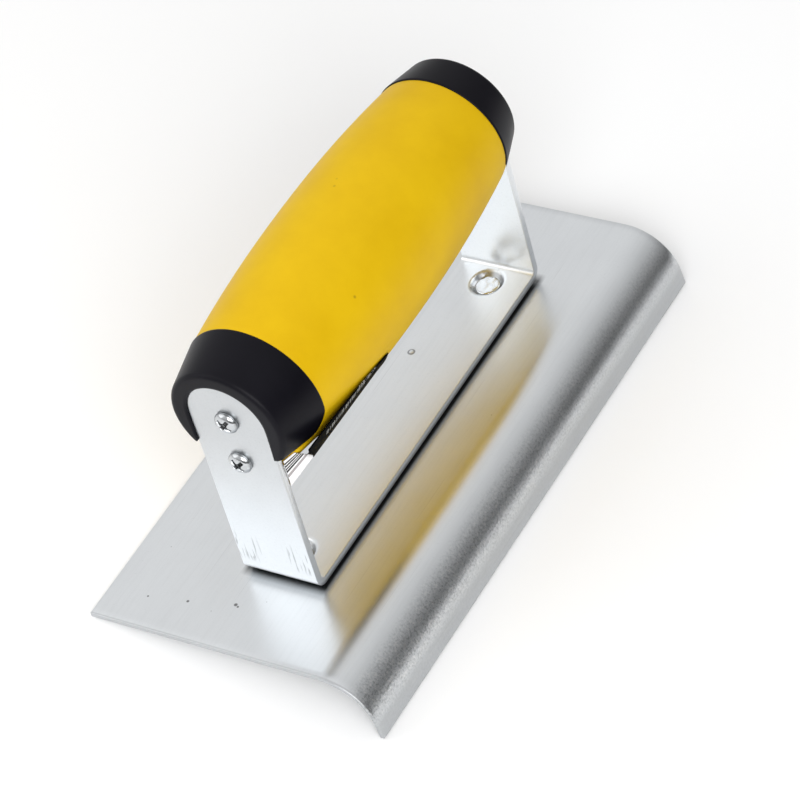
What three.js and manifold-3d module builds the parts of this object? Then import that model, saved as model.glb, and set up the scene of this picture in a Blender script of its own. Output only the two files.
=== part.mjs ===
// Hand edger with a two-screw bracket and an overmoulded barrel grip, in millimetres, +Z up.
// Every piece is drawn in the tool's own frame: x across the blade from the bracket's centre line,
// y along the blade from its middle, z up from the blade's upper face. The whole tool is then
// tipped about y, because at rest it leans on the tip of its turned-down lip.
import * as THREE from "three";
import { mergeVertices } from "three/addons/utils/BufferGeometryUtils.js";
import Module from "manifold-3d";

const wasm = await Module();
wasm.setup();
const { Manifold, Mesh: SolidMesh } = wasm;

// ---- driving dimensions ----
const GAP = 0.05; // clearance left between pieces that touch

const BLADE_LENGTH = 152;
const BLADE_THICK = 1.2;
const BLADE_LEFT = -39.6; // free long edge
const FLAT_WIDTH = 61.4; // from the free edge to where the curve starts
const EDGE_RADIUS = 13.2; // upper face of the turned-down edge
const EDGE_ANGLE = THREE.MathUtils.degToRad(82.5);
const LIP_LENGTH = 4.4; // straight stretch after the curve

const STRIP_WIDTH = 20;
const STRIP_THICK = 1.8;
const STRIP_RAISE = 0.7; // the strip's base stands this far off the blade
const STRIP_LENGTH = 107.2; // over the outer faces of the uprights
const UPRIGHT_TOP = 62.3;
const BEND_RADIUS = 3; // outside of the bend

const RIVET_Y = 45.8;
const RIVET_SHANK = 1.6;
const DIMPLE_TOP = 4; // radii of the pressed dimple
const DIMPLE_FLOOR = 3.3;
const DIMPLE_DEPTH = 1.3;

const GRIP_Z = 50.8;
const GRIP_MID = 19.15; // half width at the belly
const GRIP_DROP = 2.4; // half width lost between the belly and GRIP_TAPER_Y
const GRIP_TAPER_Y = 44.5;
const GRIP_POWER = 2.15;
const GRIP_OVAL = 0.04; // how much taller than wide the belly is
const GRIP_END_DROP = 16.4; // the grip's underside at its ends, below GRIP_Z
// How far the grip's end is drawn in, by distance from the middle: [station, sides, underside].
const GRIP_END_ROUND = [
  [48.4, 0, 0],
  [50.2, 0.7, 0.1],
  [51.2, 2, 0.4],
  [51.75, 3.4, 0.8],
];
const CORE_Z = 46.6; // oval rod that takes both screws of each end
const CORE_HALF_WIDTH = 7;
const CORE_HALF_HEIGHT = 10.6;
const CORE_HOLE = 1.4;
const CORE_HOLE_DEPTH = 14;

const CAP_END = 54.2; // the rim stands this far from the middle
const CAP_END_RADIUS = 14.2;
const CAP_END_Z = 51.9;
const CAP_PROUD = 0.3; // step from the grip up to the cap
const CAP_WALL = 2.4;
const CAP_ROUND = 0.9; // rounding of the rim's outer edge
const CAP_EDGE = 43.5; // level lower edge of the cap
// Where each cap starts, and how its lower edge curves up as it meets the grip.
const CAPS = [
  { name: "end_cap_near", side: -1, start: 41.2, cornerAlong: 4.3, cornerUp: 6.1 },
  { name: "end_cap_far", side: 1, start: 44, cornerAlong: 2, cornerUp: 2.5 },
];

const SCREW_Z = { lower: 39.7, upper: 52.2 };
const SCREW_HEAD = 2.9;
const SCREW_HEAD_HEIGHT = 1.9;
const SCREW_SHANK = 1.3;
const SCREW_LENGTH = 13.5;
const SCREW_HOLE = 1.7;

const LABEL_THICK = 0.25;
const LABEL_GAP = 0.12;
const LABEL_START = -16;
const LABEL_CREASE = -46.5;
const LABEL_END = -51.5;
const LABEL_RADIUS = { start: 19.4, end: 18.9 }; // it runs straight where the grip tapers away
const LABEL_LOW = -58; // angles round the grip's axis, in degrees
const LABEL_HIGH = -12;
const FLAP_ANGLE = -40; // the folded end leaves the strip here
const FLAP_LOW = -60; // where its lower corner meets the side of the upright
const FLAP_TURN = -8; // how far it wraps on under the grip
const FLAP_FLARE = 1.5; // and how far that corner stands out beyond the strip

const RING_STEPS = 56;
const ARC_STEPS = 12;

// ---- materials ----
function paint(color, roughness, metalness) {
  return new THREE.MeshStandardMaterial({ color, roughness, metalness });
}

// ---- solids ----
function toSolid(geometry) {
  const bare = geometry.clone();
  bare.deleteAttribute("normal");
  bare.deleteAttribute("uv");
  const merged = mergeVertices(bare, 1e-4);
  return new Manifold(
    new SolidMesh({
      numProp: 3,
      vertProperties: new Float32Array(merged.attributes.position.array),
      triVerts: new Uint32Array(merged.index.array),
    }),
  );
}

function toGeometry(solid) {
  const mesh = solid.getMesh();
  const geometry = new THREE.BufferGeometry();
  geometry.setAttribute("position", new THREE.BufferAttribute(mesh.vertProperties, 3));
  geometry.setIndex(new THREE.BufferAttribute(mesh.triVerts, 1));
  return geometry;
}

// Outline drawn in (x, z), extruded along y between two stations.
function prismAlongY(shape, from, to, curveSegments = ARC_STEPS) {
  const options = { depth: to - from, bevelEnabled: false, curveSegments };
  const geometry = new THREE.ExtrudeGeometry(shape, options);
  geometry.rotateX(Math.PI / 2);
  return geometry.translate(0, to, 0);
}

// Outline drawn in (y, z), extruded along x between two stations.
function prismAlongX(shape, from, to, curveSegments = ARC_STEPS) {
  const options = { depth: to - from, bevelEnabled: false, curveSegments };
  const geometry = new THREE.ExtrudeGeometry(shape, options);
  const turn = new THREE.Matrix4().makeBasis(
    new THREE.Vector3(0, 1, 0),
    new THREE.Vector3(0, 0, 1),
    new THREE.Vector3(1, 0, 0),
  );
  geometry.applyMatrix4(turn);
  return geometry.translate(from, 0, 0);
}

// Solid of revolution about an axis through (x, y, z); profile is [radius, height] pairs.
function turned(profile, segments, direction, x, y, z) {
  const points = profile.map(([radius, height]) => new THREE.Vector2(radius, height));
  const geometry = new THREE.LatheGeometry(points, segments);
  const up = new THREE.Vector3(0, 1, 0);
  geometry.applyQuaternion(new THREE.Quaternion().setFromUnitVectors(up, direction));
  return geometry.translate(x, y, z);
}

// Closed skin through a run of rings with equal numbers of points, fanned shut at both ends.
function loft(rings) {
  const count = rings[0].length;
  const points = rings.flat();
  const faces = [];
  for (let i = 0; i + 1 < rings.length; i++) {
    for (let j = 0; j < count; j++) {
      const next = (j + 1) % count;
      const a = i * count + j;
      const b = i * count + next;
      const c = (i + 1) * count + next;
      const d = (i + 1) * count + j;
      faces.push(a, b, c, a, c, d);
    }
  }
  for (const [ring, offset, flip] of [
    [rings[0], 0, true],
    [rings.at(-1), (rings.length - 1) * count, false],
  ]) {
    const middle = new THREE.Vector3();
    ring.forEach((point) => middle.addScaledVector(point, 1 / count));
    const hub = points.push(middle) - 1;
    for (let j = 0; j < count; j++) {
      const a = offset + j;
      const b = offset + ((j + 1) % count);
      faces.push(...(flip ? [b, a, hub] : [a, b, hub]));
    }
  }
  const geometry = new THREE.BufferGeometry().setFromPoints(points);
  geometry.setIndex(faces);
  return geometry;
}

// Thin sheet from a grid of points, thickened towards the grip's axis.
function sheet(grid, thickness) {
  const inward = (p) => {
    const radius = Math.hypot(p.x, p.z - GRIP_Z);
    const scale = (radius - thickness) / radius;
    return new THREE.Vector3(p.x * scale, p.y, GRIP_Z + (p.z - GRIP_Z) * scale);
  };
  const rings = grid.map((row) => [...row, ...row.map(inward).reverse()]);
  const count = rings[0].length;
  const points = rings.flat();
  const faces = [];
  for (let i = 0; i + 1 < rings.length; i++) {
    for (let j = 0; j < count; j++) {
      const a = i * count + j;
      const b = i * count + ((j + 1) % count);
      faces.push(a, b, b + count, a, b + count, a + count);
    }
  }
  const last = (rings.length - 1) * count;
  for (let j = 0; j + 1 < count / 2; j++) {
    const k = count - 1 - j;
    faces.push(j, k, k - 1, j, k - 1, j + 1);
    faces.push(last + j, last + k - 1, last + k, last + j, last + j + 1, last + k - 1);
  }
  const geometry = new THREE.BufferGeometry().setFromPoints(points);
  geometry.setIndex(faces);
  return geometry;
}

// ---- blade ----
const curveX = BLADE_LEFT + FLAT_WIDTH;
const curveZ = -EDGE_RADIUS;
const lipDirection = new THREE.Vector2(Math.cos(EDGE_ANGLE), -Math.sin(EDGE_ANGLE));
const lipNormal = new THREE.Vector2(Math.sin(EDGE_ANGLE), Math.cos(EDGE_ANGLE));

function lipTip(depth) {
  return new THREE.Vector2(curveX, curveZ)
    .addScaledVector(lipNormal, EDGE_RADIUS - depth)
    .addScaledVector(lipDirection, LIP_LENGTH);
}

function blade() {
  const outline = new THREE.Shape();
  const outer = lipTip(0);
  const inner = lipTip(BLADE_THICK);
  const top = Math.PI / 2;
  outline.moveTo(BLADE_LEFT, -BLADE_THICK);
  outline.lineTo(curveX, -BLADE_THICK);
  outline.absarc(curveX, curveZ, EDGE_RADIUS - BLADE_THICK, top, top - EDGE_ANGLE, true);
  outline.lineTo(inner.x, inner.y);
  outline.lineTo(outer.x, outer.y);
  outline.absarc(curveX, curveZ, EDGE_RADIUS, top - EDGE_ANGLE, top, false);
  outline.lineTo(BLADE_LEFT, 0);
  let solid = toSolid(prismAlongY(outline, -BLADE_LENGTH / 2, BLADE_LENGTH / 2));
  for (const side of [-1, 1]) {
    solid = solid.subtract(rivetHole(side));
  }
  return solid;
}

// ---- rivets ----
const dimpleFloor = STRIP_RAISE + STRIP_THICK - DIMPLE_DEPTH;
const UPWARD = new THREE.Vector3(0, 0, 1);

function rivetHole(side) {
  const radius = RIVET_SHANK + GAP;
  const profile = [[0, -4], [radius, -4], [radius, 4], [0, 4]];
  return toSolid(turned(profile, 24, UPWARD, 0, side * RIVET_Y, 0));
}

function rivet(side) {
  const head = dimpleFloor + GAP;
  const profile = [
    [0, -BLADE_THICK + GAP],
    [RIVET_SHANK, -BLADE_THICK + GAP],
    [RIVET_SHANK, head],
    [DIMPLE_FLOOR - 0.15, head],
    [DIMPLE_FLOOR - 0.15, head + 0.25],
    [DIMPLE_FLOOR - 0.4, head + 0.45],
    [0, head + 0.45],
  ];
  return toSolid(turned(profile, 32, UPWARD, 0, side * RIVET_Y, 0));
}

// ---- bracket ----
// Outline of the strip's face: a plain band with a half-round top.
function uprightFace(grow) {
  const half = STRIP_WIDTH / 2 + grow;
  const shape = new THREE.Shape();
  shape.moveTo(-half, -10);
  shape.lineTo(half, -10);
  shape.absarc(0, UPRIGHT_TOP - STRIP_WIDTH / 2, half, 0, Math.PI, false);
  shape.lineTo(-half, -10);
  return shape;
}

function bracket() {
  const half = STRIP_LENGTH / 2;
  const low = STRIP_RAISE;
  const inner = BEND_RADIUS - STRIP_THICK;
  const top = UPRIGHT_TOP + 1;
  const bendY = half - BEND_RADIUS;
  const bendZ = low + BEND_RADIUS;
  const side = new THREE.Shape();
  side.moveTo(-bendY, low);
  side.lineTo(bendY, low);
  side.absarc(bendY, bendZ, BEND_RADIUS, -Math.PI / 2, 0, false);
  side.lineTo(half, top);
  side.lineTo(half - STRIP_THICK, top);
  side.lineTo(half - STRIP_THICK, bendZ);
  side.absarc(bendY, bendZ, inner, 0, -Math.PI / 2, true);
  side.lineTo(-bendY, low + STRIP_THICK);
  side.absarc(-bendY, bendZ, inner, -Math.PI / 2, -Math.PI, true);
  side.lineTo(-half + STRIP_THICK, top);
  side.lineTo(-half, top);
  side.lineTo(-half, bendZ);
  side.absarc(-bendY, bendZ, BEND_RADIUS, Math.PI, 1.5 * Math.PI, false);
  const face = toSolid(prismAlongY(uprightFace(0), -half - 1, half + 1, 20));
  let solid = toSolid(prismAlongX(side, -STRIP_WIDTH / 2, STRIP_WIDTH / 2, 6)).intersect(face);
  for (const end of [-1, 1]) {
    const skirt = [
      [0, GAP],
      [DIMPLE_TOP - 0.2, GAP],
      [DIMPLE_TOP + 0.6, STRIP_RAISE + 0.2],
      [0, STRIP_RAISE + 0.2],
    ];
    const recess = [
      [0, dimpleFloor],
      [DIMPLE_FLOOR, dimpleFloor],
      [DIMPLE_TOP, STRIP_RAISE + STRIP_THICK],
      [DIMPLE_TOP, 5],
      [0, 5],
    ];
    solid = solid.add(toSolid(turned(skirt, 32, UPWARD, 0, end * RIVET_Y, 0)));
    solid = solid.subtract(toSolid(turned(recess, 32, UPWARD, 0, end * RIVET_Y, 0)));
    solid = solid.subtract(rivetHole(end));
    for (const height of Object.values(SCREW_Z)) {
      const hole = [[0, -4], [SCREW_HOLE, -4], [SCREW_HOLE, 4], [0, 4]];
      const outward = new THREE.Vector3(0, end, 0);
      solid = solid.subtract(toSolid(turned(hole, 20, outward, 0, end * half, height)));
    }
  }
  return solid;
}

// ---- grip ----
const gripEnd = STRIP_LENGTH / 2 - STRIP_THICK - GAP;

function bellyLoss(y) {
  return Math.pow(Math.abs(y) / GRIP_TAPER_Y, GRIP_POWER);
}

// Oval in a plane across the grip; its lower half may be deeper than its upper half.
function ring(y, halfWidth, rise, centreZ, drop = rise) {
  return Array.from({ length: RING_STEPS }, (_, i) => {
    const angle = (-2 * Math.PI * i) / RING_STEPS;
    const height = Math.sin(angle) < 0 ? drop : rise;
    return new THREE.Vector3(halfWidth * Math.cos(angle), y, centreZ + height * Math.sin(angle));
  });
}

function gripSize(y) {
  const loss = bellyLoss(y);
  const halfWidth = GRIP_MID - GRIP_DROP * loss;
  return { halfWidth, halfHeight: halfWidth * (1 + GRIP_OVAL * Math.max(0, 1 - loss)) };
}

function gripRing(y) {
  const { halfWidth, halfHeight } = gripSize(y);
  return ring(y, halfWidth, halfHeight, GRIP_Z);
}

// Cap's outer surface at a station: a straight taper from the grip to the rim.
function capRing(cap, station, grow) {
  const along = (station - cap.start) / (CAP_END - cap.start);
  const startRadius = GRIP_MID - GRIP_DROP * bellyLoss(cap.start) + CAP_PROUD;
  const radius = THREE.MathUtils.lerp(startRadius, CAP_END_RADIUS, along) + grow;
  const centreZ = THREE.MathUtils.lerp(GRIP_Z, CAP_END_Z, along);
  return ring(cap.side * station, radius, radius, centreZ);
}

function orderedLoft(rings) {
  return toSolid(loft(rings[0][0].y < rings.at(-1)[0].y ? rings : rings.toReversed()));
}

function capOuter(cap, grow) {
  const rings = [capRing(cap, cap.start - grow, grow), capRing(cap, CAP_END - CAP_ROUND, grow)];
  for (let i = 1; i <= 3; i++) {
    const angle = (Math.PI / 2) * (i / 3);
    const station = CAP_END - CAP_ROUND + CAP_ROUND * Math.sin(angle);
    rings.push(capRing(cap, station, grow - CAP_ROUND * (1 - Math.cos(angle))));
  }
  return orderedLoft(rings);
}

function capInner(cap, from, wall) {
  return orderedLoft([capRing(cap, from, -wall), capRing(cap, gripEnd, -wall)]);
}

// Everything above the cap's lower edge.
function aboveCapEdge(cap, drop) {
  const far = cap.start - 6;
  const low = CAP_EDGE - drop;
  const high = low + cap.cornerUp;
  const cornerEnd = cap.start + cap.cornerAlong;
  const cornerMid = cap.start + cap.cornerAlong / 2;
  const shape = new THREE.Shape();
  shape.moveTo(cap.side * (CAP_END + 4), low);
  shape.lineTo(cap.side * (CAP_END + 4), 90);
  shape.lineTo(cap.side * far, 90);
  shape.lineTo(cap.side * far, high + 2);
  shape.lineTo(cap.side * (cap.start - 0.6), high + 1.6);
  shape.lineTo(cap.side * cap.start, high);
  shape.quadraticCurveTo(cap.side * cornerMid, low, cap.side * cornerEnd, low);
  if (cap.side > 0) {
    return toSolid(prismAlongX(shape, -30, 30, 5));
  }
  return toSolid(prismAlongX(new THREE.Shape(shape.getPoints(5).reverse()), -30, 30));
}

function endCap(cap) {
  const slot = prismAlongY(uprightFace(GAP), -1, STRIP_THICK + 3, 20);
  const slotY = cap.side > 0 ? gripEnd : -gripEnd - STRIP_THICK - 3;
  return capOuter(cap, 0)
    .intersect(aboveCapEdge(cap, 0))
    .subtract(capInner(cap, cap.start - 1, CAP_WALL))
    .subtract(toSolid(slot.translate(0, slotY, 0)));
}

// Grip beyond the start of a cap: it narrows with the cap, but its underside stays deep.
function tailRing(cap, station, narrow, shallow) {
  const [rightmost] = capRing(cap, station, -CAP_PROUD - narrow);
  const along = (station - cap.start) / (gripEnd - cap.start);
  const startDrop = gripSize(cap.start).halfHeight;
  const drop = THREE.MathUtils.lerp(startDrop, GRIP_END_DROP, along) - shallow;
  return ring(cap.side * station, rightmost.x, rightmost.x, GRIP_Z, drop);
}

function gripBody() {
  const stations = [];
  for (let i = -12; i <= 12; i++) {
    stations.push(i / 12);
  }
  const [near, far] = CAPS;
  const rings = stations.map((s) => gripRing(s * (s < 0 ? near.start : far.start)));
  const tail = (cap) => [
    tailRing(cap, cap.start + 1, 0, 0),
    ...GRIP_END_ROUND.map((size) => tailRing(cap, ...size)),
  ];
  let solid = orderedLoft([...tail(near).reverse(), ...rings, ...tail(far)]);
  for (const cap of CAPS) {
    solid = solid
      .subtract(capOuter(cap, GAP).intersect(aboveCapEdge(cap, GAP)))
      .add(capInner(cap, cap.start - 2, CAP_WALL + GAP));
  }
  return solid.subtract(coreRod(gripEnd + 1, GAP));
}

function coreRod(end, grow) {
  const ends = [-end, end];
  return orderedLoft(
    ends.map((y) => ring(y, CORE_HALF_WIDTH + grow, CORE_HALF_HEIGHT + grow, CORE_Z)),
  );
}

function handleCore() {
  let solid = coreRod(gripEnd, 0);
  for (const end of [-1, 1]) {
    const inward = new THREE.Vector3(0, -end, 0);
    for (const height of Object.values(SCREW_Z)) {
      const pilot = [[0, -2], [CORE_HOLE, -2], [CORE_HOLE, CORE_HOLE_DEPTH], [0, CORE_HOLE_DEPTH]];
      solid = solid.subtract(toSolid(turned(pilot, 16, inward, 0, end * gripEnd, height)));
    }
  }
  return solid;
}

// ---- screws ----
function screw(end, height) {
  const profile = [
    [0, -SCREW_LENGTH],
    [SCREW_SHANK * 0.4, -SCREW_LENGTH],
    [SCREW_SHANK, -SCREW_LENGTH + 2],
    [SCREW_SHANK, GAP],
    [SCREW_HEAD, GAP],
    [SCREW_HEAD, 0.9],
    [SCREW_HEAD * 0.86, 1.5],
    [SCREW_HEAD * 0.5, SCREW_HEAD_HEIGHT],
    [0, SCREW_HEAD_HEIGHT],
  ];
  const outward = new THREE.Vector3(0, end, 0);
  let solid = toSolid(turned(profile, 20, outward, 0, 0, 0));
  for (const turn of [0, Math.PI / 2]) {
    const slot = new THREE.BoxGeometry(3.2, 2, 0.7).translate(0, end * SCREW_HEAD_HEIGHT, 0);
    solid = solid.subtract(toSolid(slot.rotateY(Math.PI / 5 + turn)));
  }
  return solid.translate([0, end * (STRIP_LENGTH / 2), height]);
}

// ---- label ----
function around(radius, degrees, y) {
  const angle = THREE.MathUtils.degToRad(degrees);
  return new THREE.Vector3(radius * Math.cos(angle), y, GRIP_Z + radius * Math.sin(angle));
}

// Outside of the label: it lies on the belly, then runs on straight as the grip tapers away.
function labelRadius(y, degrees) {
  const angle = THREE.MathUtils.degToRad(degrees);
  const { halfWidth, halfHeight } = gripSize(y);
  const grip = 1 / Math.hypot(Math.cos(angle) / halfWidth, Math.sin(angle) / halfHeight);
  const along = (LABEL_START - y) / (LABEL_START - LABEL_END);
  const straight = THREE.MathUtils.lerp(LABEL_RADIUS.start, LABEL_RADIUS.end, along);
  return Math.max(grip + LABEL_GAP + LABEL_THICK, straight);
}

// Strip low on the grip's side, with its near end cut on the slant.
function labelStrip() {
  const rows = [];
  for (let i = 0; i <= 10; i++) {
    const along = i / 10;
    const high = LABEL_HIGH - 14 * (1 - along) * (1 - along);
    const row = [];
    for (let j = 0; j <= 26; j++) {
      const degrees = THREE.MathUtils.lerp(LABEL_LOW, high, j / 26);
      const skew = THREE.MathUtils.smoothstep(degrees, FLAP_ANGLE - 2, LABEL_HIGH);
      const end = THREE.MathUtils.lerp(LABEL_CREASE, LABEL_END, skew);
      const y = THREE.MathUtils.lerp(LABEL_START, end, along);
      row.push(around(labelRadius(y, degrees), degrees, y));
    }
    rows.push(row);
  }
  return toSolid(sheet(rows, LABEL_THICK));
}

// Folded end of the same label: it turns in from the strip towards the side of the near upright.
function labelFlap() {
  const backTop = new THREE.Vector3(12.9, -49.9, 42.5);
  const frontTop = new THREE.Vector3(10.5, LABEL_END, 40.8);
  const backY = LABEL_CREASE + 0.8;
  const radius = labelRadius(backY, FLAP_ANGLE);
  const backLow = around(radius, FLAP_ANGLE, backY);
  const frontRadius = radius + FLAP_FLARE;
  const frontLow = around(frontRadius, FLAP_LOW, LABEL_END);
  const columns = [];
  for (let j = 0; j < 4; j++) {
    columns.push([backTop.clone().lerp(backLow, j / 4), frontTop.clone().lerp(frontLow, j / 4)]);
  }
  for (let j = 0; j <= 4; j++) {
    const back = around(radius, THREE.MathUtils.lerp(FLAP_ANGLE, LABEL_LOW, j / 4), backY);
    const front = around(frontRadius, FLAP_LOW + (FLAP_TURN * j) / 4, LABEL_END);
    columns.push([back, front]);
  }
  columns.reverse();
  const rows = [0, 1].map((end) => columns.map((column) => column[end]));
  return toSolid(sheet(rows, LABEL_THICK));
}

// ---- assembly ----
const part = new THREE.Group();
const tool = new THREE.Group();
part.add(tool);

function place(name, solid, material) {
  const mesh = new THREE.Mesh(toGeometry(solid), material);
  mesh.name = name;
  tool.add(mesh);
}

place("blade", blade(), paint(0xc9cdd0, 0.32, 1));
place("bracket", bracket(), paint(0xd3d6d8, 0.28, 1));
place("rivet_near", rivet(-1), paint(0xdcdfe0, 0.35, 1));
place("rivet_far", rivet(1), paint(0xdcdfe0, 0.35, 1));
place("handle_core", handleCore(), paint(0x2a2a2c, 0.6, 0));
place("grip_sleeve", gripBody(), paint(0xe8bf17, 0.55, 0));
for (const cap of CAPS) {
  place(cap.name, endCap(cap), paint(0x1d1c22, 0.5, 0));
}
for (const [level, height] of Object.entries(SCREW_Z)) {
  place("screw_near_" + level, screw(-1, height), paint(0xd9dadb, 0.2, 1));
  place("screw_far_" + level, screw(1, height), paint(0xd9dadb, 0.2, 1));
}
place("grip_label", labelStrip().add(labelFlap()), paint(0x15151a, 0.35, 0));

// At rest the free edge and the lip's inner corner both touch the ground.
const lipCorner = lipTip(BLADE_THICK);
const restAngle = Math.atan2(-BLADE_THICK - lipCorner.y, lipCorner.x - BLADE_LEFT);
tool.rotation.y = -restAngle;
part.updateMatrixWorld(true);
const box = new THREE.Box3().setFromObject(part, true);
tool.position.set(-(box.min.x + box.max.x) / 2, 0, -box.min.z);

export default part;
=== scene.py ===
import math
import random

import bmesh
import bpy
from mathutils import Matrix, Vector, noise


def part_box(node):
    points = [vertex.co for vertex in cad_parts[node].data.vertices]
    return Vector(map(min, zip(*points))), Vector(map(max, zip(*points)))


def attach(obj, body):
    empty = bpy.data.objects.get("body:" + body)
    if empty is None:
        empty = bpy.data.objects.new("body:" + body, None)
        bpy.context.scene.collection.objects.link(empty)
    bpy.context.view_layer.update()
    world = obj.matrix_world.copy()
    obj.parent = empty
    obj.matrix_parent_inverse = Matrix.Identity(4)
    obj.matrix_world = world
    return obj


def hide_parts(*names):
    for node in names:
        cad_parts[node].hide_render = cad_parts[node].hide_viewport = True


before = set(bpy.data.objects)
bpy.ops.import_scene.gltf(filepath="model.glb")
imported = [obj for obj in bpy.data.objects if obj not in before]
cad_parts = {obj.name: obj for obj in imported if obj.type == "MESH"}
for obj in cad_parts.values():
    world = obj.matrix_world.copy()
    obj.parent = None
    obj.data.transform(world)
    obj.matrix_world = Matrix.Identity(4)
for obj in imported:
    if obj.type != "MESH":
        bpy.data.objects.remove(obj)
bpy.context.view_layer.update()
random.seed(11)

MM = 0.001

# ---- sizes in millimetres, in the tool's own frame: x from the bracket's centre line, y from the
# middle of the blade, z from the blade's upper face ----
BLADE_LENGTH = 152.0
BLADE_THICK = 1.2
BLADE_LEFT = -39.6
BLADE_TRIM = 0.12  # the free long edge stops this far short of BLADE_LEFT
FLAT_WIDTH = 61.4
EDGE_RADIUS = 13.2  # outside of the turned-down edge
EDGE_ANGLE = math.radians(82.5)
LIP_LENGTH = 4.4

STRIP_HALF = 10.0
STRIP_THICK = 1.8
STRIP_RAISE = 0.7  # gap between the strip and the blade
STRIP_Y = 53.6  # outer face of the uprights
UPRIGHT_TOP = 62.3
BEND_RADIUS = 3.0
DIMPLE_RADII = (3.2, 4.25)  # floor and rim
DIMPLE_WALL = 3.65  # radius halfway up its wall
DIMPLE_DEPTH = 1.3
PIP_X, PIP_Y = -6.3, 19.2
PIP_RADII = (0.35, 0.8)
PIP_HEIGHT = 0.24
RIVET_Y = 45.8
RIVET_SHANK = 1.55
RIVET_RISE = 0.42
RIVET_PROUD = 0.03  # how far its hidden end passes the blade's underside
RIVET_HAMMER = 0.12  # unevenness of its head

GRIP_Z = 50.8
GRIP_MID = 19.15  # half width in the middle
GRIP_DROP = 2.4  # lost from the half width by GRIP_TAPER_Y
GRIP_TAPER_Y = 44.5
GRIP_POWER = 2.15
GRIP_OVAL = 0.04
GRIP_END = STRIP_Y - STRIP_THICK - 0.05
GRIP_END_DROP = 16.4  # depth of the underside at the grip's end
TUCK, TUCK_FROM = 0.75, 50.0  # the underside draws in a little more from here to the end
NARROWING, NARROW_FROM = 3.9, 48.6  # and so do the sides
BARREL_TRIM = 0.03  # keeps the barrel's top inside the CAD grip's
BARREL_COVER = 0.45  # the cap hides the barrel by at least this much

CAP_START = {-1: 41.2, 1: 44.0}
CAP_END = 54.2
CAP_END_RADIUS = 14.2
CAP_END_Z = 51.9
CAP_PROUD = 0.3
CAP_WALL = 2.4
CAP_EDGE = 43.5
CAP_CORNER = {-1: (4.3, 6.1), 1: (2.0, 2.5)}  # along the cap, and up
CAP_TURN_IN = 0.32  # the cap's first edge meets the grip this far in
CAP_ROUND = 1.0  # radius of its rim
CAP_COLUMNS = 97

SCREW_Z = {"lower": 39.7, "upper": 52.2}
SCREW_HEAD = 2.88
SCREW_CROWN = 1.85
SCREW_RIM = 0.55
SCREW_RECESS = 1.3
SCREW_SHANK = ((1.25, -13.4), (1.28, -11.5), (1.28, 0.02))  # (radius, distance past the upright)

LABEL_THICK = 0.25
LABEL_GAP = 0.12
LABEL_START = -16.0
LABEL_CREASE = -46.5
LABEL_END = -51.5
LABEL_RADII = (19.4, 18.9)  # at its start and end, where it stands off the tapering grip
# degrees round the grip, 0 at its widest line and -90 straight down
LABEL_LOW = -58.0
LABEL_HIGH = -12.0
LABEL_SLANT = 14.0  # how much lower its upper edge starts
FLAP_ANGLE = -40.0
FLAP_LOW = -60.0
FLAP_TURN = -8.0
# millimetres again
FLAP_FLARE = 1.5
FLAP_THICK = 0.2
FLAP_END = -51.65
FLAP_BACK_TOP = Vector((12.75, -50.0, 42.65))
FLAP_FRONT_TOP = Vector((10.3, FLAP_END, 40.75))

# ---- resting pose: the tool leans on its free long edge and the tip of its lip ----
CURVE_X = BLADE_LEFT + FLAT_WIDTH
INNER_RADIUS = EDGE_RADIUS - BLADE_THICK
EDGE_SIN, EDGE_COS = math.sin(EDGE_ANGLE), math.cos(EDGE_ANGLE)
tip_x = CURVE_X + EDGE_SIN * INNER_RADIUS + EDGE_COS * LIP_LENGTH
tip_z = -EDGE_RADIUS + EDGE_COS * INNER_RADIUS - EDGE_SIN * LIP_LENGTH
LEAN = math.atan2(-BLADE_THICK - tip_z, tip_x - BLADE_LEFT)
blade_low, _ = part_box("blade")
REST = Matrix.Translation(
    (
        blade_low.x - BLADE_LEFT * math.cos(LEAN) * MM,
        0,
        blade_low.z - (BLADE_LEFT * math.sin(LEAN) - BLADE_THICK * math.cos(LEAN)) * MM,
    )
) @ Matrix.Rotation(-LEAN, 4, "Y")


# ---- mesh helpers ----
def closed_object(name, points, faces, uvs=None):
    """A smooth closed mesh from tool positions, stood in the resting pose, its faces outwards.

    uvs holds one (u, v) for each point.
    """
    mesh = bpy.data.meshes.new(name)
    mesh.from_pydata([Vector(p) * MM for p in points], [], faces)
    if uvs:
        layer = mesh.uv_layers.new(name="UVMap")
        for loop in mesh.loops:
            layer.data[loop.index].uv = uvs[loop.vertex_index]
    mesh.polygons.foreach_set("use_smooth", [True] * len(mesh.polygons))
    mesh.update()
    mesh.transform(REST)
    bm = bmesh.new()
    bm.from_mesh(mesh)
    bmesh.ops.recalc_face_normals(bm, faces=bm.faces)
    bm.to_mesh(mesh)
    bm.free()
    obj = bpy.data.objects.new(name, mesh)
    bpy.context.scene.collection.objects.link(obj)
    return obj


def break_edges(obj, width_mm):
    """A small bevel on the edges of a sheet."""
    bevel = obj.modifiers.new("edges", "BEVEL")
    bevel.width = width_mm * MM
    bevel.segments = 2
    bevel.limit_method = "ANGLE"
    bevel.angle_limit = math.radians(60)
    bevel.harden_normals = False


def sharpen(obj, angle):
    """Shades edges steeper than an angle in degrees as sharp."""
    bm = bmesh.new()
    bm.from_mesh(obj.data)
    for edge in bm.edges:
        if len(edge.link_faces) == 2 and edge.calc_face_angle(0) > math.radians(angle):
            edge.smooth = False
    bm.to_mesh(obj.data)
    bm.free()


def grid_faces(rows, columns, closed=False):
    faces = []
    for i in range(rows - 1):
        row, following = i * columns, (i + 1) * columns
        for j in range(columns if closed else columns - 1):
            k = (j + 1) % columns
            faces.append((row + j, row + k, following + k, following + j))
    return faces


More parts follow.
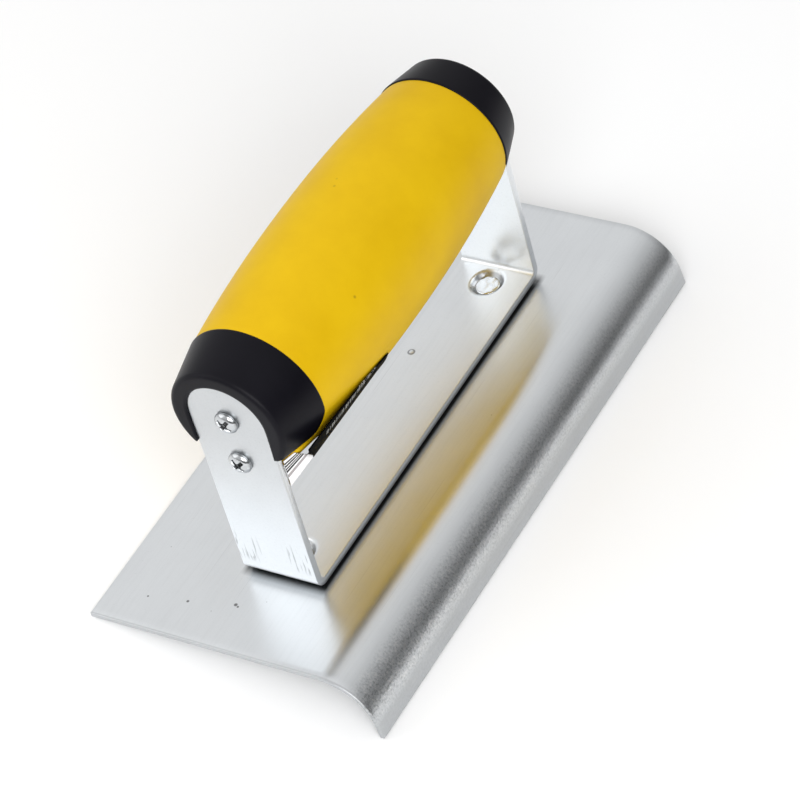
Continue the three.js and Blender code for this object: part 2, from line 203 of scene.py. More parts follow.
def tube(rings):
    """Points and faces of a closed skin through equal rings."""
    count = len(rings[0])
    points = [p for ring in rings for p in ring]
    last = len(points) - count
    faces = grid_faces(len(rings), count, closed=True)
    faces += [tuple(reversed(range(count))), tuple(range(last, last + count))]
    return points, faces


def two_sided(top, bottom, rows, columns, uvs):
    """Closed sheet from two matching grids, with its four edges shut."""
    n = rows * columns
    faces = grid_faces(rows, columns)
    faces += [tuple(n + v for v in reversed(face)) for face in faces]
    rim = [(0, j) for j in range(columns)]
    rim += [(i, columns - 1) for i in range(1, rows)]
    rim += [(rows - 1, j) for j in range(columns - 2, -1, -1)]
    rim += [(i, 0) for i in range(rows - 2, 0, -1)]
    order = [i * columns + j for i, j in rim]
    for a, b in zip(order, order[1:] + order[:1]):
        faces.append((b, a, n + a, n + b))
    return top + bottom, faces, uvs + uvs


def smoothstep(low, high, value):
    t = min(1.0, max(0.0, (value - low) / (high - low)))
    return t * t * (3 - 2 * t)


def lerp(a, b, t):
    return a + (b - a) * t


def steps(start, end, count):
    return [lerp(start, end, i / count) for i in range(count + 1)]


# ---- blade: one bent sheet, its corners and long edges barely broken ----
def blade_sheet():
    section = [(BLADE_LEFT + BLADE_TRIM, 0.0)]
    section += [(x, 0.0) for x in steps(BLADE_LEFT + 1.0, CURVE_X, 30)]
    for angle in steps(0, EDGE_ANGLE, 40)[1:]:
        x = CURVE_X + EDGE_RADIUS * math.sin(angle)
        section.append((x, -EDGE_RADIUS * (1 - math.cos(angle))))
    for length in steps(0, LIP_LENGTH, 5)[1:]:
        x = CURVE_X + EDGE_RADIUS * EDGE_SIN + EDGE_COS * length
        section.append((x, -EDGE_RADIUS * (1 - EDGE_COS) - EDGE_SIN * length))
    normals = []
    for x, z in section:
        angle = min(EDGE_ANGLE, math.atan2(x - CURVE_X, z + EDGE_RADIUS)) if x > CURVE_X else 0.0
        normals.append((math.sin(angle), math.cos(angle)))
    run = [0.0]
    for (x0, z0), (x1, z1) in zip(section, section[1:]):
        run.append(run[-1] + math.hypot(x1 - x0, z1 - z0))
    stations = steps(-BLADE_LENGTH / 2, BLADE_LENGTH / 2, 76)
    top, bottom, uvs = [], [], []
    for y in stations:
        for (x, z), (nx, nz), u in zip(section, normals, run):
            top.append((x, y, z))
            bottom.append((x - nx * BLADE_THICK, y, z - nz * BLADE_THICK))
            uvs.append((u, y))
    obj = closed_object("blade_sheet", *two_sided(top, bottom, len(stations), len(section), uvs))
    break_edges(obj, 0.16)
    return obj


# ---- bracket: a strip bent up at both ends, with a pressed dimple at each rivet ----
def strip_path():
    """(run along the strip, y, z, normal y, normal z) of the strip's inner face."""
    inner = BEND_RADIUS - STRIP_THICK
    flat_y = STRIP_Y - BEND_RADIUS
    base = STRIP_RAISE + STRIP_THICK
    shoulder = UPRIGHT_TOP - STRIP_HALF
    half = [(y, base, 0.0, 1.0) for y in steps(0, flat_y, 70)]
    for angle in steps(0, math.pi / 2, 10)[1:]:
        y = flat_y + inner * math.sin(angle)
        z = base + inner * (1 - math.cos(angle))
        half.append((y, z, -math.sin(angle), math.cos(angle)))
    heights = steps(base + inner, shoulder, 30)[1:]
    for angle in steps(0, math.pi / 2, 16)[1:]:
        heights.append(shoulder + STRIP_HALF * math.sin(angle) * 0.9995)
    half += [(STRIP_Y - STRIP_THICK, z, -1.0, 0.0) for z in heights]
    path = [(-y, z, -ny, nz) for y, z, ny, nz in reversed(half[1:])] + half
    run, last_y, last_z = 0.0, *path[0][:2]
    out = []
    for y, z, ny, nz in path:
        run += math.hypot(y - last_y, z - last_z)
        last_y, last_z = y, z
        out.append((run, y, z, ny, nz))
    return out


def bracket_strip():
    path = strip_path()
    across = [-1, -0.985, -0.95] + steps(-0.9, 0.9, 44) + [0.95, 0.985, 1]
    inner, outer, uvs = [], [], []
    for run, y, z, ny, nz in path:
        on_base = nz > 0.5
        climb = max(0.0, z - (UPRIGHT_TOP - STRIP_HALF)) / STRIP_HALF
        half = STRIP_HALF if on_base else STRIP_HALF * math.sqrt(max(1e-4, 1 - climb * climb))
        for t in across:
            x = half * t
            sink = pip = 0.0
            if on_base:
                from_rivet = math.hypot(x, abs(y) - RIVET_Y)
                from_pip = math.hypot(x - PIP_X, y - PIP_Y)
                sink = DIMPLE_DEPTH * (1 - smoothstep(*DIMPLE_RADII, from_rivet))
                pip = PIP_HEIGHT * (1 - smoothstep(*PIP_RADII, from_pip))
            sink_below = min(sink, STRIP_RAISE - 0.06)  # stays clear of the blade
            inner.append((x, y, z - sink + pip))
            outer.append((x, y - ny * STRIP_THICK, z - nz * STRIP_THICK - sink_below))
            uvs.append((x, run))
    obj = closed_object("bracket_strip", *two_sided(inner, outer, len(path), len(across), uvs))
    break_edges(obj, 0.22)
    return obj


def rivet(name, side, segments=64):
    """Hammered head on a plain shank, through (radius, height) pairs from its hidden end up."""
    floor = STRIP_RAISE + STRIP_THICK - DIMPLE_DEPTH + 0.02
    top = floor + RIVET_RISE
    profile = [(RIVET_SHANK, -BLADE_THICK - RIVET_PROUD), (RIVET_SHANK, floor)]
    profile += [(3.1, floor + 0.02), (3.12, floor + 0.2), (3.0, top - 0.08)]
    profile += [(radius, top) for radius in (2.85, 2.4, 1.9, 1.4, 0.9, 0.5, 0.15)]
    centre = Vector((0, side * RIVET_Y, 0))
    u, v = Vector((1, 1, 0)).normalized(), Vector((-1, 1, 0)).normalized()
    rings = []
    for radius, height in profile:
        ring = []
        for i in range(segments):
            a = 2 * math.pi * i / segments
            offset = (u * math.cos(a) + v * math.sin(a)) * radius
            dent = RIVET_HAMMER * noise.noise(offset * 0.9 + centre) if height > floor else 0.0
            ring.append(centre + offset + Vector((0, 0, height + dent)))
        rings.append(ring)
    return closed_object(name, *tube(rings))


# ---- handle ----
def grip_size(y):
    """The grip's half width, and its half height, which is a little more in the middle."""
    loss = (abs(y) / GRIP_TAPER_Y) ** GRIP_POWER
    half_width = GRIP_MID - GRIP_DROP * loss
    return half_width, half_width * (1 + GRIP_OVAL * max(0.0, 1 - loss))


def cap_radius(side, station):
    """Outer radius of the cap, and the height of its centre."""
    start = CAP_START[side]
    along = (station - start) / (CAP_END - start)
    first = grip_size(start)[0] + CAP_PROUD
    return lerp(first, CAP_END_RADIUS, along), lerp(GRIP_Z, CAP_END_Z, along)


def cap_edge(side, station):
    """Height of the cap's lower edge: level, then curving up where the cap meets the grip."""
    along, climb = CAP_CORNER[side]
    into = max(0.0, along - (station - CAP_START[side])) / along
    return CAP_EDGE + climb * into**2


def grip_ring(y, segments=160):
    """Section of the grip; past the caps it narrows with them while its underside stays deep.

    Wherever it runs under a cap it is held inside the cap's outer surface.
    """
    side = -1 if y < 0 else 1
    station = abs(y)
    start = CAP_START[side]
    under_cap = station > start
    half_width, rise = grip_size(min(station, start))
    drop = rise
    if under_cap:
        radius, centre_z = cap_radius(side, station)
        edge = cap_edge(side, station)
        along = (station - start) / (GRIP_END - start)
        tuck = TUCK * smoothstep(TUCK_FROM, GRIP_END, station)
        narrow = NARROWING * smoothstep(NARROW_FROM, GRIP_END + 0.6, station) ** 1.4
        drop = lerp(rise, GRIP_END_DROP, along) - tuck
        rise = half_width = radius - CAP_PROUD - narrow
    ring = []
    for i in range(segments):
        a = 2 * math.pi * i / segments
        height = rise if math.sin(a) > 0 else drop
        x, z = half_width * math.cos(a), GRIP_Z + height * math.sin(a) - BARREL_TRIM
        if under_cap and z > edge - 1.0:
            widest = math.sqrt(max(0.0, (radius - BARREL_COVER) ** 2 - (z - centre_z) ** 2))
            held = max(-widest, min(widest, x))
            x = lerp(x, held, smoothstep(edge - 1.0, edge - 0.2, z))
        ring.append((x, y, z))
    return ring


def grip_barrel():
    stations = [-GRIP_END] + steps(-51.4, -42.0, 14) + steps(-41.0, 43.8, 84)
    stations += steps(44.6, 51.4, 12) + [GRIP_END]
    obj = closed_object("grip_barrel", *tube([grip_ring(y) for y in stations]))
    sharpen(obj, 50)
    return obj


def cap_row(side, station, inset):
    """Arc of the cap from its left lower edge over the top to its right, inset from its outside."""
    radius, centre_z = cap_radius(side, station)
    radius += inset
    reach = math.acos(max(-1.0, min(1.0, (cap_edge(side, station) - centre_z) / radius)))
    row = []
    for angle in steps(-reach, reach, CAP_COLUMNS - 1):
        x, z = radius * math.sin(angle), centre_z + radius * math.cos(angle)
        row.append(Vector((x, side * station, z)))
    return row


def slot_point(side, t):
    """A point on the upright's outline, from its left edge over the round top to its right edge."""
    half = STRIP_HALF + 0.06
    centre = UPRIGHT_TOP - STRIP_HALF
    leg = centre - CAP_EDGE - 0.1
    total = 2 * leg + math.pi * half
    run = t * total
    if run < leg:
        return Vector((-half, side * CAP_END, centre - leg + run))
    if run > total - leg:
        return Vector((half, side * CAP_END, centre - (run - (total - leg))))
    angle = (run - leg) / half
    return Vector((-half * math.cos(angle), side * CAP_END, centre + half * math.sin(angle)))


def cap_shell(name, side):
    """Horseshoe cap: outside from grip to rim, round the rim, across its face and into the slot."""
    start = CAP_START[side]
    profile = [(start, -CAP_TURN_IN), (start + 0.1, -0.12)]
    profile += [(start + run, 0.0) for run in (0.35, 0.6, 0.95, 1.4, 2.0, 2.8)]
    profile += [(s, 0.0) for s in steps(start + 3.7, CAP_END - CAP_ROUND, 10)]
    for angle in steps(0, math.pi / 2, 6)[1:]:
        station = CAP_END - CAP_ROUND + CAP_ROUND * math.sin(angle)
        profile.append((station, -CAP_ROUND * (1 - math.cos(angle))))
    rows = [cap_row(side, station, inset) for station, inset in profile]
    rim = rows[-1]
    slot = [slot_point(side, t) for t in steps(0, 1, CAP_COLUMNS - 1)]
    rows += [[a.lerp(b, t) for a, b in zip(rim, slot)] for t in (0.25, 0.5, 0.75, 0.93)]
    rows += [[p + Vector((0, -side * depth, 0)) for p in slot] for depth in (0.35, 2.2)]
    rows += [cap_row(side, station, -CAP_WALL) for station in (GRIP_END, start + 0.4)]
    points = [p for row in rows for p in row]
    faces = grid_faces(len(rows), CAP_COLUMNS)
    last = len(points) - CAP_COLUMNS
    for j in range(CAP_COLUMNS - 1):
        faces.append((last + j, last + j + 1, j + 1, j))
    for j in (0, CAP_COLUMNS - 1):
        faces.append(tuple(range(j, len(points), CAP_COLUMNS)))
    return closed_object(name, points, faces)


def recess_arm(across, along):
    """How deep one arm of the cross recess is, 0 to 1."""
    return (1 - smoothstep(0.34, 0.50, across)) * (1 - smoothstep(1.55, 1.95, along))


def screw_head(name, side, height, segments=128):
    """Pan head with a cross recess pressed into its crown, on a plain shank.

    Its U coordinate holds how much painted shade it carries: full in the cross recess, half under the
    head and fading in round its rim.
    """
    turn = random.uniform(0, math.pi / 2)
    angles = [2 * math.pi * i / segments for i in range(segments)]
    rings, dirt_and_shade = [], []
    for radius, past in SCREW_SHANK + ((2.8, 0.02), (SCREW_HEAD, 0.12)):
        y = side * (STRIP_Y + past)
        rings.append([(radius * math.cos(a), y, height + radius * math.sin(a)) for a in angles])
        # half painted shade under the head and on the shank
        dirt_and_shade += [(0.5, 0.0)] * segments
    for radius in [SCREW_HEAD, 2.86, 2.74, 2.5, 2.25] + steps(2.1, 0.05, 26):
        crown = max(SCREW_RIM, SCREW_CROWN * math.sqrt(1 - (radius / 3.05) ** 2.6))
        ring = []
        for a in angles:
            u, v = abs(radius * math.cos(a - turn)), abs(radius * math.sin(a - turn))
            recess = max(recess_arm(u, v), recess_arm(v, u), 1 - smoothstep(0.55, 0.95, radius))
            y = side * (STRIP_Y + crown - SCREW_RECESS * recess)
            ring.append((radius * math.cos(a), y, height + radius * math.sin(a)))
            # painted shade: full in the recess, fading in towards the head's rim
            dirt_and_shade.append((max(recess, 0.5 * smoothstep(2.6, SCREW_HEAD, radius)), 0.0))
        rings.append(ring)
    return closed_object(name, *tube(rings), dirt_and_shade)


# ---- label ----
def around(radius, degrees, y):
    a = math.radians(degrees)
    return Vector((radius * math.cos(a), y, GRIP_Z + radius * math.sin(a)))


def label_radius(y, degrees):
    """Outer radius of the label: close on the grip, and standing off it where it tapers."""
    a = math.radians(degrees)
    half_width, half_height = grip_size(y)
    grip = 1 / math.hypot(math.cos(a) / half_width, math.sin(a) / half_height)
    along = (LABEL_START - y) / (LABEL_START - LABEL_END)
    return max(grip + LABEL_GAP + LABEL_THICK, lerp(*LABEL_RADII, along))


def inward(p, depth):
    """The point moved towards the grip's axis."""
    radius = math.hypot(p.x, p.z - GRIP_Z)
    k = (radius - depth) / radius
    return Vector((p.x * k, p.y, GRIP_Z + (p.z - GRIP_Z) * k))


def label_strip():
    top, uvs = [], []
    rows, columns = 49, 33
    for along in steps(0, 1, rows - 1):
        high = LABEL_HIGH - LABEL_SLANT * (1 - along) ** 2
        for degrees in steps(LABEL_LOW, high, columns - 1):
            skew = smoothstep(FLAP_ANGLE - 2, LABEL_HIGH, degrees)
            y = lerp(LABEL_START, lerp(LABEL_CREASE, LABEL_END, skew), along)
            top.append(around(label_radius(y, degrees), degrees, y))
            uvs.append((y, degrees))
    bottom = [inward(p, LABEL_THICK) for p in top]
    return closed_object("label_strip", *two_sided(top, bottom, rows, columns, uvs))


def label_flap():
    """The label's end, folded in towards the upright; U is 0 to 1 across the part that shows."""
    back_y = LABEL_CREASE + 0.3
    radius = label_radius(back_y, FLAP_ANGLE) - LABEL_THICK * 0.2
    flared = radius + FLAP_FLARE
    back_low, front_low = around(radius, FLAP_ANGLE, back_y), around(flared, FLAP_LOW, FLAP_END)
    columns = []
    for t in steps(0, 1, 24)[:-1]:
        columns.append((t, FLAP_BACK_TOP.lerp(back_low, t), FLAP_FRONT_TOP.lerp(front_low, t)))
    for t in steps(0, 1, 8):
        back = around(radius, lerp(FLAP_ANGLE, LABEL_LOW, t), back_y)
        front = around(flared, FLAP_LOW + FLAP_TURN * t, FLAP_END)
        columns.append((1 + t, back, front))
    top, uvs = [], []
    rows = 9
    for t in steps(0, 1, rows - 1):
        for across, back, front in columns:
            top.append(back.lerp(front, t))
            uvs.append((across, t))
    bottom = [inward(p, FLAP_THICK) for p in top]
    return closed_object("label_flap", *two_sided(top, bottom, rows, len(columns), uvs))


# ---- materials ----
class Nodes:
    """A material, with small helpers that add and link its shader nodes."""

    def __init__(self, name):
        self.material = bpy.data.materials.new(name)
        self.material.use_nodes = True
        self.tree = self.material.node_tree
        self.shader = self.tree.nodes["Principled BSDF"]

    def add(self, kind, inputs=None, **props):
        node = self.tree.nodes.new(kind)
        for key, value in props.items():
            setattr(node, key, value)
        for key, value in (inputs or {}).items():
            self.put(node.inputs[key], value)
        return node

    def put(self, socket, value):
        if isinstance(value, bpy.types.NodeSocket):
            self.tree.links.new(value, socket)
        else:
            socket.default_value = value

    def set(self, **values):
        for key, value in values.items():
            self.put(self.shader.inputs[key.replace("_", " ")], value)

    def coords(self, kind="Object", scale=(1, 1, 1)):
        source = self.add("ShaderNodeTexCoord").outputs[kind]
        inputs = {"Vector": source, "Scale": scale}
        if kind == "Object":  # back into the tool's own frame
            inputs["Rotation"] = (0, LEAN, 0)
            inputs["Location"] = -(Matrix.Rotation(LEAN, 4, "Y") @ REST.translation)
        return self.add("ShaderNodeMapping", inputs).outputs["Vector"]

    def split(self, vector):
        return tuple(self.add("ShaderNodeSeparateXYZ", {"Vector": vector}).outputs)

    def join(self, **parts):
        return self.add("ShaderNodeCombineXYZ", parts).outputs["Vector"]

    def noise(self, vector, scale, detail=4.0, rough=0.55):
        inputs = {"Vector": vector, "Scale": scale, "Detail": detail, "Roughness": rough}
        return self.add("ShaderNodeTexNoise", inputs).outputs["Fac"]

    def scatter(self, vector, scale, **props):
        """Distance to the nearest of many scattered points, and that point's random number."""
        cells = self.add("ShaderNodeTexVoronoi", {"Vector": vector, "Scale": scale}, **props).outputs
        colour = self.add("ShaderNodeSeparateColor", {"Color": cells["Color"]}).outputs
        return cells["Distance"], colour[0]

    def remap(self, value, low, high, to_low, to_high):
        inputs = {"Value": value, "From Min": low, "From Max": high}
        inputs.update({"To Min": to_low, "To Max": to_high})
        return self.add("ShaderNodeMapRange", inputs).outputs["Result"]

    def remap_mm(self, value, low, high, to_low, to_high):
        return self.remap(value, low * MM, high * MM, to_low, to_high)

    def math(self, operation, a, b=0.0):
        return self.add("ShaderNodeMath", {0: a, 1: b}, operation=operation).outputs[0]

    def product(self, first, *others):
        for value in others:
            first = self.math("MULTIPLY", first, value)
        return first

    def largest(self, first, *others):
        for value in others:
            first = self.math("MAXIMUM", first, value)
        return first

    def absolute(self, value):
        return self.math("ABSOLUTE", value)

    def off(self, value, middle):
        """How far a value is from a middle one."""
        return self.absolute(self.math("SUBTRACT", value, middle))

    def distance(self, place, x_mm, y_mm):
        inputs = {0: place, 1: (x_mm * MM, y_mm * MM, 0)}
        return self.add("ShaderNodeVectorMath", inputs, operation="DISTANCE").outputs["Value"]

    def mix(self, factor, a, b):
        inputs = {"Factor": factor, "A": a, "B": b}
        return self.add("ShaderNodeMix", inputs, data_type="RGBA").outputs["Result"]

    def bump(self, height, strength, distance_mm):
        inputs = {"Height": height, "Strength": strength, "Distance": distance_mm * MM}
        return self.add("ShaderNodeBump", inputs).outputs["Normal"]


def grey(value):
    return (value, value, value, 1)


def cool(value):
    """Bright steel's faint blue cast."""
    return (value * 0.965, value * 0.995, value * 1.02, 1)


# noise scales per metre, and how far two of them are stretched along the blade
ROLLING_SCALE, SPANGLE_SCALE, SCRATCH_SCALE = 1500, 1700, 2600
ROLLING_STRETCH, SCRATCH_STRETCH = (1, 0.05, 1), (1, 0.012, 1)


def steel(name, tint, rough, cloud_scale, relief_strength, wear_and_shade=None):
    """Satin sheet steel: cloudy gloss, faint rolling lines along the blade and a fine spangle.

    rough is the range of its roughness. Its last argument, if given, takes (n, x, y, z) and gives
    (dark marks, extra spangle, painted shade), each 0 to 1, from tool positions in metres.
    """
    n = Nodes(name)
    place = n.coords()
    marks, extra, painted_shade = wear_and_shade(n, *n.split(place)) if wear_and_shade else (0.0, 0.0, 0.0)
    cloud = n.noise(place, cloud_scale, 5, 0.6)
    lines = n.noise(n.coords(scale=ROLLING_STRETCH), ROLLING_SCALE, 2, 0.5)
    spangle = n.noise(place, SPANGLE_SCALE, 3, 0.65)
    scratches = n.noise(n.coords(scale=SCRATCH_STRETCH), SCRATCH_SCALE, 1, 0.4)
    # the spangle's high spots are pits and, where there is extra, its low spots glint
    pits = n.product(n.remap(spangle, 0.60, 0.72, 0, 1), 0.12)
    deep_pits = n.product(n.remap(spangle, 0.53, 0.60, 0, 1), n.product(extra, 0.75))
    glints = n.product(n.remap(spangle, 0.38, 0.44, 1, 0), extra)
    base = n.mix(n.remap(cloud, 0.35, 0.65, 0, 1), cool(tint * 0.96), cool(tint))
    base = n.mix(n.largest(pits, deep_pits), base, cool(tint * 0.55))
    base = n.mix(glints, base, grey(1))
    base = n.mix(n.remap(lines, 0.45, 0.75, 0, 0.13), base, cool(tint * 0.75))
    base = n.mix(n.remap(scratches, 0.72, 0.76, 0, 0.25), base, cool(tint * 0.6))
    # painted shade: darkens the steel towards black where the shade function asks
    base = n.mix(painted_shade, base, grey(0.0))
    base = n.mix(marks, base, grey(0.12))
    uneven = n.product(n.remap(spangle, 0.3, 0.7, -0.04, 0.04), n.math("ADD", extra, 0.06))
    gloss = n.math("ADD", n.remap(cloud, 0.3, 0.7, *rough), uneven)
    depth = n.math("ADD", n.product(extra, 3.5), relief_strength)
    relief = n.product(n.math("ADD", n.product(lines, 0.35), spangle), depth)
    n.set(Base_Color=base, Metallic=1.0, Roughness=gloss, Normal=n.bump(relief, 1.0, 0.02))
    return n.material


# (x, y, radius) in millimetres
BLADE_SPECKS = ((-18.9, -65.6, 0.42), (-7.4, -63.0, 0.55), (-6.6, -63.4, 0.35), (-28.9, -67.2, 0.3))


def blade_wear_and_shade(n, x, y, z):
    """Specks near one end, stray dust and a rough band down the lip; painted shadow beside the
    bracket, painted shade down the lip's face and along the near edge.
    """
    place = n.join(X=x, Y=y)
    upper_face = n.math("GREATER_THAN", z, -0.6 * MM)
    marks = 0.0
    for speck_x, speck_y, radius in BLADE_SPECKS:
        away = n.distance(place, speck_x, speck_y)
        marks = n.largest(marks, n.remap_mm(away, radius * 0.6, radius, 0.85, 0.0))
    nearest, number = n.scatter(place, 95.0, voronoi_dimensions="2D")
    chosen = n.math("GREATER_THAN", number, 0.86)
    dust = n.product(chosen, n.remap(nearest, 0.008, 0.018, 0.45, 0.0))
    marks = n.product(n.largest(marks, dust), upper_face)
    # painted shadow on the blade along the bracket's long edges
    beside = n.remap_mm(n.absolute(x), 10.4, 11.8, 0.8, 0)
    seam_shadow = n.product(beside, upper_face, n.remap_mm(n.absolute(y), 52, 54.5, 1, 0))
    curve, lip_face = n.remap_mm(x, 29, 32.5, 0, 1), n.remap_mm(z, -12, -8, 0.15, 1)
    band = n.product(curve, lip_face, n.remap_mm(y, -76, 76, 1.0, 0.4))
    # painted shade on the lip's face, strongest low down
    lip_shade = n.remap_mm(z, -12, -7, 0.34, 0)
    # painted shade: a dark line along the blade's near edge
    near_edge_shade = n.remap_mm(y, -75.8, -75.3, 0.3, 0)
    return marks, band, n.largest(lip_shade, near_edge_shade, seam_shadow)


def bracket_wear_and_shade(n, x, y, z):
    """Short upright scratches low on the near upright; painted shade growing up the near upright and
    round the dimples and the pip.
    """
    near_face = n.math("LESS_THAN", y, -53 * MM)
    on_base = n.math("LESS_THAN", z, 3 * MM)
    stretched = n.join(X=x, Z=n.product(z, 0.07))
    strokes = n.remap(n.noise(stretched, 1500, 2, 0.5), 0.56, 0.62, 0, 1)
    low_down = n.product(n.remap_mm(z, 5, 6.5, 0, 1), n.remap_mm(z, 11, 15, 1, 0))
    to_the_sides = n.remap_mm(n.absolute(x), 2.5, 5, 0, 1)
    marks = n.product(strokes, low_down, n.product(to_the_sides, near_face), 0.45)
    # painted shade: the near upright's outer face darkens towards its top
    shade_upwards = n.product(n.remap_mm(z, 11, 49, 0, 0.24), near_face)
    from_rivet = n.distance(n.join(X=x, Y=n.absolute(y)), 0, RIVET_Y)
    from_pip = n.distance(n.join(X=x, Y=y), PIP_X, PIP_Y)
    # painted shade in rings on the dimple walls and round the foot of the pip
    ring = n.remap_mm(n.off(from_rivet, DIMPLE_WALL * MM), 0.25, 0.6, 0.55, 0)
    pip_shade = n.remap_mm(n.off(from_pip, 0.75 * MM), 0.1, 0.32, 0.6, 0)
    painted_shade = n.largest(shade_upwards, n.product(ring, on_base), n.product(pip_shade, on_base))
    return marks, 0.0, painted_shade


def recess_shade(n, x, y, z):
    """Painted shade in the screw's cross recess and round and under its head, where the mesh's U
    says.
    """
    uv = n.add("ShaderNodeTexCoord").outputs["UV"]
    return 0.0, 0.0, n.product(n.split(uv)[0], 0.93)


def moulded(name, dark, light, rough, grain_scale, specular=0.5, dirt_and_shade=None):
    """Moulded plastic or rubber: mottled colour, fine grain and, with a dirt colour, stray specks."""
    n = Nodes(name)
    place = n.coords()
    mottle = n.noise(place, 55, 5, 0.6)
    grain = n.noise(place, grain_scale, 3, 0.55)
    base = n.mix(n.remap(mottle, 0.3, 0.7, 0, 1), dark, light)
    if dirt_and_shade:
        nearest, number = n.scatter(place, 190.0)
        speck = n.remap(nearest, 0.03, 0.10, 0.55, 0)
        base = n.mix(n.product(speck, n.math("GREATER_THAN", number, 0.72)), base, dirt_and_shade)
    gloss = n.remap(mottle, 0.3, 0.7, rough - 0.04, rough + 0.04)
    n.set(Base_Color=base, Roughness=gloss, Normal=n.bump(grain, 0.2, 0.03))
    n.set(Specular_IOR_Level=specular)
    return n.material


def label_black():
    """Black film with a row of short pale dashes that read as print but spell nothing."""
    n = Nodes("label_black_film")
    along, degrees, _ = n.split(n.coords("UV"))
    broken = n.noise(n.join(X=n.product(along, 1.4), Y=0.0), 2.2, 1, 0.5)
    in_row = n.math("LESS_THAN", n.off(degrees, -19.5), 2.2)
    in_span = n.math("GREATER_THAN", along, -44.0)
    marks = n.product(in_row, in_span, n.math("GREATER_THAN", broken, 0.52))
    base = n.mix(marks, (0.002, 0.002, 0.0022, 1), (0.50, 0.50, 0.48, 1))
    scuff = n.noise(n.coords(), 300, 4)
    n.set(Base_Color=base, Roughness=n.remap(scuff, 0.3, 0.7, 0.4, 0.55))
    n.set(Specular_IOR_Level=0.02)
    return n.material


# (middle, half width) across the label's white end
BARS = ((0.11, 0.034), (0.215, 0.036), (0.32, 0.028), (0.42, 0.042))
GREY_BAND = (0.60, 0.06)


def label_white():
    """White end of the label with four plain bars of uneven width, then a grey band."""
    n = Nodes("label_white_film")
    across, _, _ = n.split(n.coords("UV"))
    base = (0.93, 0.92, 0.92, 1)
    for middle, half in BARS:
        base = n.mix(n.math("LESS_THAN", n.off(across, middle), half), base, grey(0.012))
    middle, half = GREY_BAND
    base = n.mix(n.math("LESS_THAN", n.off(across, middle), half), base, (0.40, 0.37, 0.37, 1))
    fibre = n.noise(n.coords(), 500, 4)
    n.set(Base_Color=base, Roughness=n.remap(fibre, 0.3, 0.7, 0.4, 0.55))
    return n.material


# ---- pieces ----
blade_steel = steel("blade_satin_steel", 0.81, (0.288, 0.33), 38, 0.12, blade_wear_and_shade)
bracket_steel = steel("bracket_satin_steel", 0.84, (0.288, 0.33), 60, 0.10, bracket_wear_and_shade)
rivet_steel = steel("rivet_steel", 0.80, (0.2, 0.32), 500, 0.5)
screw_steel = steel("screw_nickel", 0.62, (0.14, 0.22), 300, 0.1, recess_shade)
yellow = moulded(
    "grip_yellow",
    dark=(0.695, 0.425, 0.001, 1),
    light=(0.775, 0.495, 0.003, 1),
    rough=0.5,
    grain_scale=1500,
    specular=0.16,
    dirt_and_shade=(0.22, 0.11, 0.01, 1),
)
black = moulded(
    "cap_black",
    dark=(0.0035, 0.0032, 0.0055, 1),
    light=(0.006, 0.0055, 0.009, 1),
    rough=0.40,
    grain_scale=1800,
    specular=0.12,
)


def finish_piece(obj, material, node=None):
    obj.data.materials.append(material)
    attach(obj, "root")
    if node:
        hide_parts(node)


finish_piece(blade_sheet(), blade_steel, "blade")
finish_piece(bracket_strip(), bracket_steel, "bracket")
finish_piece(rivet("rivet_head_near", -1), rivet_steel, "rivet_near")
finish_piece(rivet("rivet_head_far", 1), rivet_steel, "rivet_far")
finish_piece(grip_barrel(), yellow, "grip_sleeve")
for side, end in ((-1, "near"), (1, "far")):
    finish_piece(cap_shell("cap_shell_" + end, side), black, "end_cap_" + end)
    for level, height in SCREW_Z.items():
        piece = screw_head("screw_head_" + end + "_" + level, side, height)
        finish_piece(piece, screw_steel, "screw_" + end + "_" + level)
finish_piece(label_strip(), label_black(), "grip_label")
finish_piece(label_flap(), label_white())

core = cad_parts["handle_core"]
core.data.materials.clear()
core.data.materials.append(
    moulded("core_moulded", (0.02, 0.02, 0.021, 1), (0.03, 0.03, 0.032, 1), 0.55, 900)
)

# ---- floor ----
FLOOR_SIZE, FLOOR_GAP = 6, 0.0002
bpy.ops.mesh.primitive_plane_add(size=FLOOR_SIZE, location=(0, 0, -FLOOR_GAP))
floor = bpy.context.object
floor.name = "floor"
paper = Nodes("floor_paper")
tone = paper.noise(paper.coords(), 6, 3)
paper.set(Base_Color=paper.mix(tone, grey(0.94), grey(0.96)), Roughness=0.9)
floor.data.materials.append(paper.material)

# ---- light: a pale tent, brightest overhead and to the left and dark low on the right, with the
# main softbox high at the front right and two weak ones lower at the left and right ----
TENT_AXIS = (-0.7, 0, 1.0)  # towards its brightest part
TENT_RANGE = (-0.7, 1.2)  # of the direction along that axis
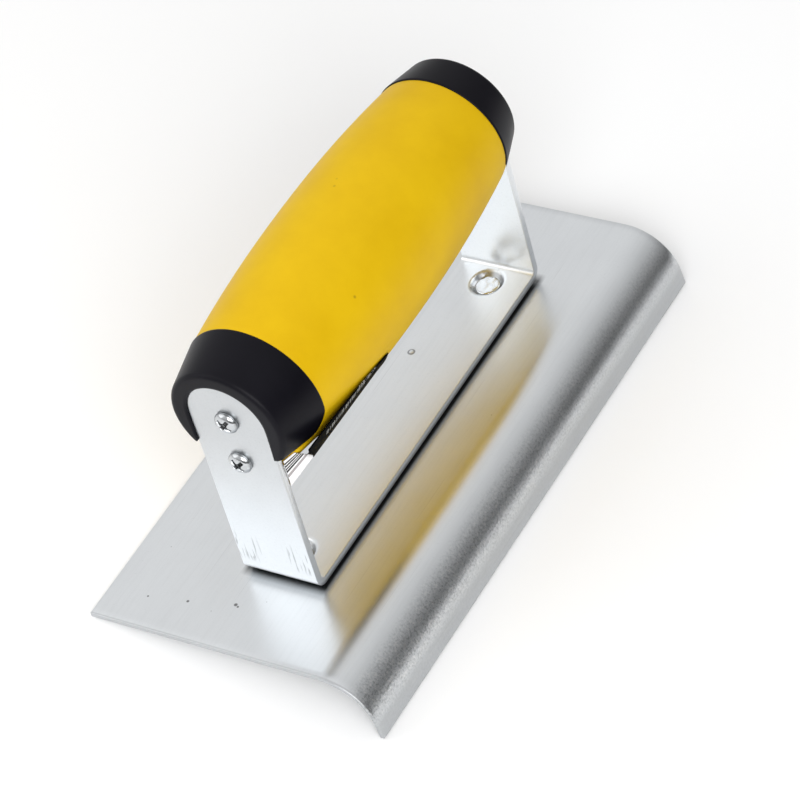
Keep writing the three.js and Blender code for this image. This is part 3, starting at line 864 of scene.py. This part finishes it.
# (position in that range, brightness)
TENT = ((0.0, 0.05), (0.24, 0.06), (0.42, 0.28), (0.52, 0.42))
TENT += ((0.65, 0.60), (0.78, 0.74), (1.0, 0.92))
world = bpy.data.worlds.new("studio")
bpy.context.scene.world = world
world.use_nodes = True
sky = world.node_tree
direction = sky.nodes.new("ShaderNodeTexCoord")
towards_light = sky.nodes.new("ShaderNodeVectorMath")
towards_light.operation = "DOT_PRODUCT"
towards_light.inputs[1].default_value = TENT_AXIS
spread = sky.nodes.new("ShaderNodeMapRange")
spread.inputs["From Min"].default_value, spread.inputs["From Max"].default_value = TENT_RANGE
tent = sky.nodes.new("ShaderNodeValToRGB")
sky.links.new(direction.outputs["Generated"], towards_light.inputs[0])
sky.links.new(towards_light.outputs["Value"], spread.inputs["Value"])
sky.links.new(spread.outputs["Result"], tent.inputs["Fac"])
sky.links.new(tent.outputs["Color"], sky.nodes["Background"].inputs["Color"])
while len(tent.color_ramp.elements) < len(TENT):
    tent.color_ramp.elements.new(0.5)
for element, (position, brightness) in zip(tent.color_ramp.elements, TENT):
    element.position = position
    element.color = grey(brightness)

AIM = Vector((0, 0, 0.04))


def softbox(name, location, size, power):
    """A rectangular lamp aimed at the tool; metres and watts."""
    light = bpy.data.lights.new(name, "AREA")
    light.shape = "RECTANGLE"
    light.size, light.size_y = size
    light.energy = power
    lamp = bpy.data.objects.new(name, light)
    bpy.context.scene.collection.objects.link(lamp)
    lamp.location = location
    lamp.rotation_euler = (AIM - Vector(location)).to_track_quat("-Z", "Y").to_euler()


softbox("front_right", (0.55, -0.85, 0.88), (1.0, 0.8), 10.0)
softbox("left", (-0.86, -0.55, 0.62), (0.9, 0.9), 2.6)
softbox("right", (0.85, -0.60, 0.72), (0.9, 0.9), 2.6)

# ---- camera, at the photograph's angle, given in the tool's own frame ----
AZIMUTH, ELEVATION, ROLL = (math.radians(a) for a in (41.09, 42.73, -17.04))
TARGET = Vector((4.03, -1.60, 9.55))  # mm
DISTANCE = 912.65  # mm
FOCAL_LENGTH, SENSOR = 177.63, 36  # mm
back = Vector(
    (
        math.sin(AZIMUTH) * math.cos(ELEVATION),
        -math.cos(AZIMUTH) * math.cos(ELEVATION),
        math.sin(ELEVATION),
    )
)
level = Vector((math.cos(AZIMUTH), math.sin(AZIMUTH), 0))
upright = back.cross(level)
right = level * math.cos(ROLL) + upright * math.sin(ROLL)
up = back.cross(right)
turn = Matrix((right, up, back)).transposed().to_4x4()
lens = bpy.data.cameras.new("camera")
lens.lens = FOCAL_LENGTH
lens.sensor_width = SENSOR
lens.clip_start, lens.clip_end = 0.05, 20
camera = bpy.data.objects.new("camera", lens)
bpy.context.scene.collection.objects.link(camera)
camera.matrix_world = REST @ Matrix.Translation((TARGET + back * DISTANCE) * MM) @ turn
bpy.context.scene.camera = camera
bpy.context.scene.view_settings.view_transform = "Standard"
